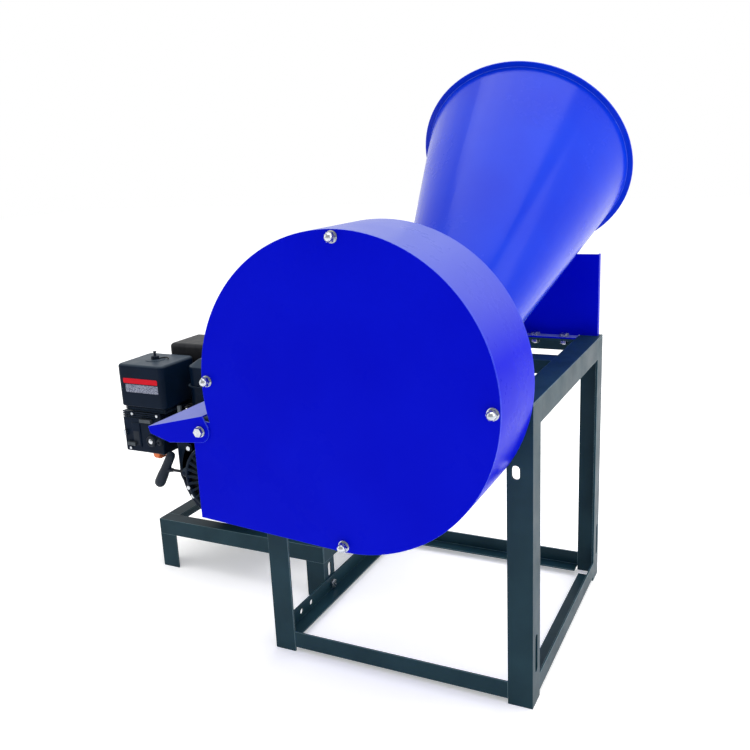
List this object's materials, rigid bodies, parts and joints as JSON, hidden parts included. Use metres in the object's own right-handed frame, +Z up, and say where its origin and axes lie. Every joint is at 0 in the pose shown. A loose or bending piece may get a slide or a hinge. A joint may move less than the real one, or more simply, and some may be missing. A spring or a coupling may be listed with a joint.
{
  "type": "hammer mill",
  "caption": "Small hammer mill: round drum with a slanted feed cone and a side outlet flap on an angle-iron stand, driven by a petrol engine on a low shelf through belts.",
  "frame": {"origin": "on the floor, under the middle of the overall box; the rotor axis is 226 mm to the right and the front faces of the main legs 178 mm to the front", "axes": "+X to the right seen from the drum cover, +Y from the cover towards the belt side, +Z up"},
  "size_m": [1.014, 0.6926, 0.9811],
  "materials": {
    "blue_paint": "glossy royal blue enamel on rolled sheet",
    "frame_green": "satin dark slate green paint on rolled angle",
    "engine_black": "semi-gloss black",
    "engine_casting": "dark painted casting",
    "black_plastic": "moulded black",
    "zinc_steel": "bright zinc plate",
    "bright_steel": "turned and ground steel",
    "cast_grey": "grey cast iron",
    "belt_rubber": "wrapped V-belt rubber",
    "rope_black": "braided starter rope"
  },
  "bodies": {
    "mill_frame": {"air_cleaner": "engine_black", "bearing_rail": "frame_green", "belt_guard": "blue_paint", "carburettor": "engine_black", "cover_fasteners": "zinc_steel", "crankcase": "engine_casting", "cylinder": "engine_casting", "drive_belts": "belt_rubber", "drum_back_wall": "blue_paint", "drum_rim": "blue_paint", "engine_bars": "frame_green", "fan_housing": "engine_black", "feed_cone": "blue_paint", "flap_pivots": "zinc_steel", "front_bearing": "cast_grey", "front_bottom_rail": "frame_green", "front_cover": "blue_paint", "front_left_leg": "frame_green", "front_right_leg": "frame_green", "front_top_rail": "frame_green", "fuel_tank": "engine_black", "guard_plate": "blue_paint", "left_bottom_rail": "frame_green", "left_top_rail": "frame_green", "machine_bolts": "zinc_steel", "muffler": "engine_black", "rear_bearing": "cast_grey", "rear_bottom_rail": "frame_green", "rear_left_leg": "frame_green", "rear_right_leg": "frame_green", "rear_top_rail": "frame_green", "recoil_cover": "engine_black", "recoil_rope": "rope_black", "right_bottom_rail": "frame_green", "right_top_rail": "frame_green", "screen": "bright_steel", "shelf_end_rails": "frame_green", "shelf_front_rail": "frame_green", "shelf_legs": "frame_green", "shelf_rear_rail": "frame_green", "spark_plug_cap": "black_plastic"},
    "rotor": {"rotor_shaft": "bright_steel", "rotor_discs": "bright_steel", "hammer_pins": "bright_steel", "mill_pulley": "cast_grey"},
    "hammer_row_1": {"hammers_1": "bright_steel"},
    "hammer_row_2": {"hammers_2": "bright_steel"},
    "hammer_row_3": {"hammers_3": "bright_steel"},
    "hammer_row_4": {"hammers_4": "bright_steel"},
    "crank": {"crankshaft": "bright_steel", "engine_pulley": "cast_grey"},
    "flap": {"discharge_flap": "blue_paint"},
    "starter_handle": {"recoil_handle": "black_plastic"},
    "throttle": {"throttle_lever": "zinc_steel"},
    "choke": {"choke_lever": "zinc_steel"},
    "fuel_tap": {"fuel_tap_lever": "zinc_steel"},
    "switch_knob": {"stop_switch": "black_plastic"},
    "tank_cap": {"fuel_cap": "engine_black"},
    "cleaner_knob": {"air_cleaner_knob": "black_plastic"},
    "dipstick": {"oil_cap": "black_plastic"}
  },
  "joints": [
    {"name": "rotor_spin", "type": "hinge", "parent": "mill_frame", "child": "rotor", "pos_m": [0.226, -0.178, 0.526], "axis": [0, 1, 0], "continuous": true},
    {"name": "crank_spin", "type": "hinge", "parent": "mill_frame", "child": "crank", "pos_m": [-0.256, -0.178, 0.22], "axis": [0, 1, 0], "continuous": true},
    {"name": "hammer_swing_1", "type": "hinge", "parent": "rotor", "child": "hammer_row_1", "pos_m": [0.31085, -0.258, 0.61085], "axis": [0, 1, 0], "continuous": true},
    {"name": "hammer_swing_2", "type": "hinge", "parent": "rotor", "child": "hammer_row_2", "pos_m": [0.14115, -0.258, 0.61085], "axis": [0, 1, 0], "continuous": true},
    {"name": "hammer_swing_3", "type": "hinge", "parent": "rotor", "child": "hammer_row_3", "pos_m": [0.14115, -0.258, 0.44115], "axis": [0, 1, 0], "continuous": true},
    {"name": "hammer_swing_4", "type": "hinge", "parent": "rotor", "child": "hammer_row_4", "pos_m": [0.31085, -0.258, 0.44115], "axis": [0, 1, 0], "continuous": true},
    {"name": "flap_tilt", "type": "hinge", "parent": "mill_frame", "child": "flap", "pos_m": [-0.011, -0.258, 0.456], "axis": [0, 1, 0], "range_deg": [-75, 20]},
    {"name": "starter_pull", "type": "slide", "parent": "mill_frame", "child": "starter_handle", "axis": [-1, 0, 0], "range_m": [0, 0.5], "stiffness_N_per_m": 20, "deforming": ["recoil_rope"]},
    {"name": "throttle_turn", "type": "hinge", "parent": "mill_frame", "child": "throttle", "pos_m": [-0.344, 0.017, 0.321], "axis": [0, 1, 0], "range_deg": [-25, 35]},
    {"name": "choke_slide", "type": "slide", "parent": "mill_frame", "child": "choke", "axis": [1, 0, 0], "range_m": [0, 0.02]},
    {"name": "fuel_tap_slide", "type": "slide", "parent": "mill_frame", "child": "fuel_tap", "axis": [1, 0, 0], "range_m": [0, 0.016]},
    {"name": "switch_turn", "type": "hinge", "parent": "mill_frame", "child": "switch_knob", "pos_m": [-0.188, 0.018, 0.329], "axis": [0, 1, 0], "range_deg": [0, 60]},
    {"name": "tank_cap_turn", "type": "hinge", "parent": "mill_frame", "child": "tank_cap", "pos_m": [-0.263, 0.148, 0.455], "axis": [0, 0, 1], "range_deg": [0, 90]},
    {"name": "cleaner_knob_turn", "type": "hinge", "parent": "mill_frame", "child": "cleaner_knob", "pos_m": [-0.4345, 0.067, 0.45], "axis": [0, 0, 1], "continuous": true},
    {"name": "dipstick_turn", "type": "hinge", "parent": "mill_frame", "child": "dipstick", "pos_m": [-0.208, 0.252, 0.148], "axis": [0, 1, 0], "continuous": true}
  ],
  "couplings": [
    {"joint": "crank_spin", "follows": "rotor_spin", "ratio": 0.77876}
  ]
}
